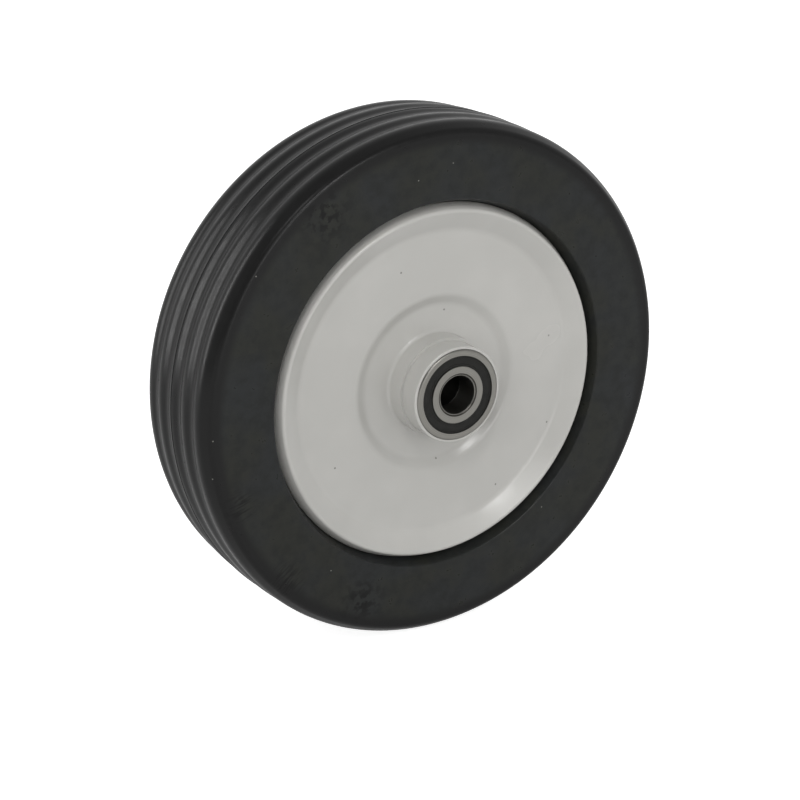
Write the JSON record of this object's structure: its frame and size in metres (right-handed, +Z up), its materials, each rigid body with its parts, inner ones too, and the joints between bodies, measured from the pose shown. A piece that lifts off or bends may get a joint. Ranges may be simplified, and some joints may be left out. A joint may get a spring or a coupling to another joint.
{
  "type": "wheel",
  "caption": "Solid rubber tyred wheel on painted pressed-steel discs, with a tubular hub and sealed ball bearings for a plain axle.",
  "frame": {"origin": "centre of the wheel, on the axle's line in the tyre's middle plane", "axes": "+Y along the axle from the front face to the rear, +Z up, +X to the right seen from the front"},
  "size_m": [0.2, 0.067, 0.2],
  "materials": {
    "tyre_rubber": "moulded black rubber",
    "disc_paint": "glossy light grey paint",
    "spacer_steel": "plain drawn tube",
    "bearing_steel": "ground ring steel",
    "seal_rubber": "moulded black seal rubber",
    "cage_steel": "pressed strip",
    "ball_steel": "polished"
  },
  "bodies": {
    "axle_set": {"spacer_tube": "spacer_steel", "front_inner_ring": "bearing_steel", "rear_inner_ring": "bearing_steel"},
    "wheel": {"tyre": "tyre_rubber", "front_disc": "disc_paint", "rear_disc": "disc_paint", "hub_tube": "disc_paint", "front_outer_ring": "bearing_steel", "front_outer_seal": "seal_rubber", "front_inner_seal": "seal_rubber", "rear_outer_ring": "bearing_steel", "rear_outer_seal": "seal_rubber", "rear_inner_seal": "seal_rubber"},
    "front_cage": {"front_cage_outer": "cage_steel", "front_cage_inner": "cage_steel", "front_cage_rivets": "cage_steel"},
    "front_ball_1": {"front_ball_1": "ball_steel"},
    "front_ball_2": {"front_ball_2": "ball_steel"},
    "front_ball_3": {"front_ball_3": "ball_steel"},
    "front_ball_4": {"front_ball_4": "ball_steel"},
    "front_ball_5": {"front_ball_5": "ball_steel"},
    "front_ball_6": {"front_ball_6": "ball_steel"},
    "front_ball_7": {"front_ball_7": "ball_steel"},
    "front_ball_8": {"front_ball_8": "ball_steel"},
    "rear_cage": {"rear_cage_outer": "cage_steel", "rear_cage_inner": "cage_steel", "rear_cage_rivets": "cage_steel"},
    "rear_ball_1": {"rear_ball_1": "ball_steel"},
    "rear_ball_2": {"rear_ball_2": "ball_steel"},
    "rear_ball_3": {"rear_ball_3": "ball_steel"},
    "rear_ball_4": {"rear_ball_4": "ball_steel"},
    "rear_ball_5": {"rear_ball_5": "ball_steel"},
    "rear_ball_6": {"rear_ball_6": "ball_steel"},
    "rear_ball_7": {"rear_ball_7": "ball_steel"},
    "rear_ball_8": {"rear_ball_8": "ball_steel"}
  },
  "joints": [
    {"name": "wheel_spin", "type": "hinge", "parent": "axle_set", "child": "wheel", "pos_m": [0, 0, 0], "axis": [0, 1, 0], "continuous": true},
    {"name": "front_cage_spin", "type": "hinge", "parent": "axle_set", "child": "front_cage", "pos_m": [0, -0.028, 0], "axis": [0, 1, 0], "continuous": true},
    {"name": "front_ball_1_spin", "type": "hinge", "parent": "front_cage", "child": "front_ball_1", "pos_m": [0, -0.028, 0.0125], "axis": [0, 1, 0], "continuous": true},
    {"name": "front_ball_2_spin", "type": "hinge", "parent": "front_cage", "child": "front_ball_2", "pos_m": [0.00884, -0.028, 0.00884], "axis": [0, 1, 0], "continuous": true},
    {"name": "front_ball_3_spin", "type": "hinge", "parent": "front_cage", "child": "front_ball_3", "pos_m": [0.0125, -0.028, 0], "axis": [0, 1, 0], "continuous": true},
    {"name": "front_ball_4_spin", "type": "hinge", "parent": "front_cage", "child": "front_ball_4", "pos_m": [0.00884, -0.028, -0.00884], "axis": [0, 1, 0], "continuous": true},
    {"name": "front_ball_5_spin", "type": "hinge", "parent": "front_cage", "child": "front_ball_5", "pos_m": [0, -0.028, -0.0125], "axis": [0, 1, 0], "continuous": true},
    {"name": "front_ball_6_spin", "type": "hinge", "parent": "front_cage", "child": "front_ball_6", "pos_m": [-0.00884, -0.028, -0.00884], "axis": [0, 1, 0], "continuous": true},
    {"name": "front_ball_7_spin", "type": "hinge", "parent": "front_cage", "child": "front_ball_7", "pos_m": [-0.0125, -0.028, 0], "axis": [0, 1, 0], "continuous": true},
    {"name": "front_ball_8_spin", "type": "hinge", "parent": "front_cage", "child": "front_ball_8", "pos_m": [-0.00884, -0.028, 0.00884], "axis": [0, 1, 0], "continuous": true},
    {"name": "rear_cage_spin", "type": "hinge", "parent": "axle_set", "child": "rear_cage", "pos_m": [0, 0.028, 0], "axis": [0, 1, 0], "continuous": true},
    {"name": "rear_ball_1_spin", "type": "hinge", "parent": "rear_cage", "child": "rear_ball_1", "pos_m": [0, 0.028, 0.0125], "axis": [0, 1, 0], "continuous": true},
    {"name": "rear_ball_2_spin", "type": "hinge", "parent": "rear_cage", "child": "rear_ball_2", "pos_m": [0.00884, 0.028, 0.00884], "axis": [0, 1, 0], "continuous": true},
    {"name": "rear_ball_3_spin", "type": "hinge", "parent": "rear_cage", "child": "rear_ball_3", "pos_m": [0.0125, 0.028, 0], "axis": [0, 1, 0], "continuous": true},
    {"name": "rear_ball_4_spin", "type": "hinge", "parent": "rear_cage", "child": "rear_ball_4", "pos_m": [0.00884, 0.028, -0.00884], "axis": [0, 1, 0], "continuous": true},
    {"name": "rear_ball_5_spin", "type": "hinge", "parent": "rear_cage", "child": "rear_ball_5", "pos_m": [0, 0.028, -0.0125], "axis": [0, 1, 0], "continuous": true},
    {"name": "rear_ball_6_spin", "type": "hinge", "parent": "rear_cage", "child": "rear_ball_6", "pos_m": [-0.00884, 0.028, -0.00884], "axis": [0, 1, 0], "continuous": true},
    {"name": "rear_ball_7_spin", "type": "hinge", "parent": "rear_cage", "child": "rear_ball_7", "pos_m": [-0.0125, 0.028, 0], "axis": [0, 1, 0], "continuous": true},
    {"name": "rear_ball_8_spin", "type": "hinge", "parent": "rear_cage", "child": "rear_ball_8", "pos_m": [-0.00884, 0.028, 0.00884], "axis": [0, 1, 0], "continuous": true}
  ],
  "couplings": [
    {"joint": "front_cage_spin", "follows": "wheel_spin", "ratio": 0.61906},
    {"joint": "front_ball_1_spin", "follows": "wheel_spin", "ratio": 1.9807},
    {"joint": "front_ball_2_spin", "follows": "wheel_spin", "ratio": 1.9807},
    {"joint": "front_ball_3_spin", "follows": "wheel_spin", "ratio": 1.9807},
    {"joint": "front_ball_4_spin", "follows": "wheel_spin", "ratio": 1.9807},
    {"joint": "front_ball_5_spin", "follows": "wheel_spin", "ratio": 1.9807},
    {"joint": "front_ball_6_spin", "follows": "wheel_spin", "ratio": 1.9807},
    {"joint": "front_ball_7_spin", "follows": "wheel_spin", "ratio": 1.9807},
    {"joint": "front_ball_8_spin", "follows": "wheel_spin", "ratio": 1.9807},
    {"joint": "rear_cage_spin", "follows": "wheel_spin", "ratio": 0.61906},
    {"joint": "rear_ball_1_spin", "follows": "wheel_spin", "ratio": 1.9807},
    {"joint": "rear_ball_2_spin", "follows": "wheel_spin", "ratio": 1.9807},
    {"joint": "rear_ball_3_spin", "follows": "wheel_spin", "ratio": 1.9807},
    {"joint": "rear_ball_4_spin", "follows": "wheel_spin", "ratio": 1.9807},
    {"joint": "rear_ball_5_spin", "follows": "wheel_spin", "ratio": 1.9807},
    {"joint": "rear_ball_6_spin", "follows": "wheel_spin", "ratio": 1.9807},
    {"joint": "rear_ball_7_spin", "follows": "wheel_spin", "ratio": 1.9807},
    {"joint": "rear_ball_8_spin", "follows": "wheel_spin", "ratio": 1.9807}
  ]
}
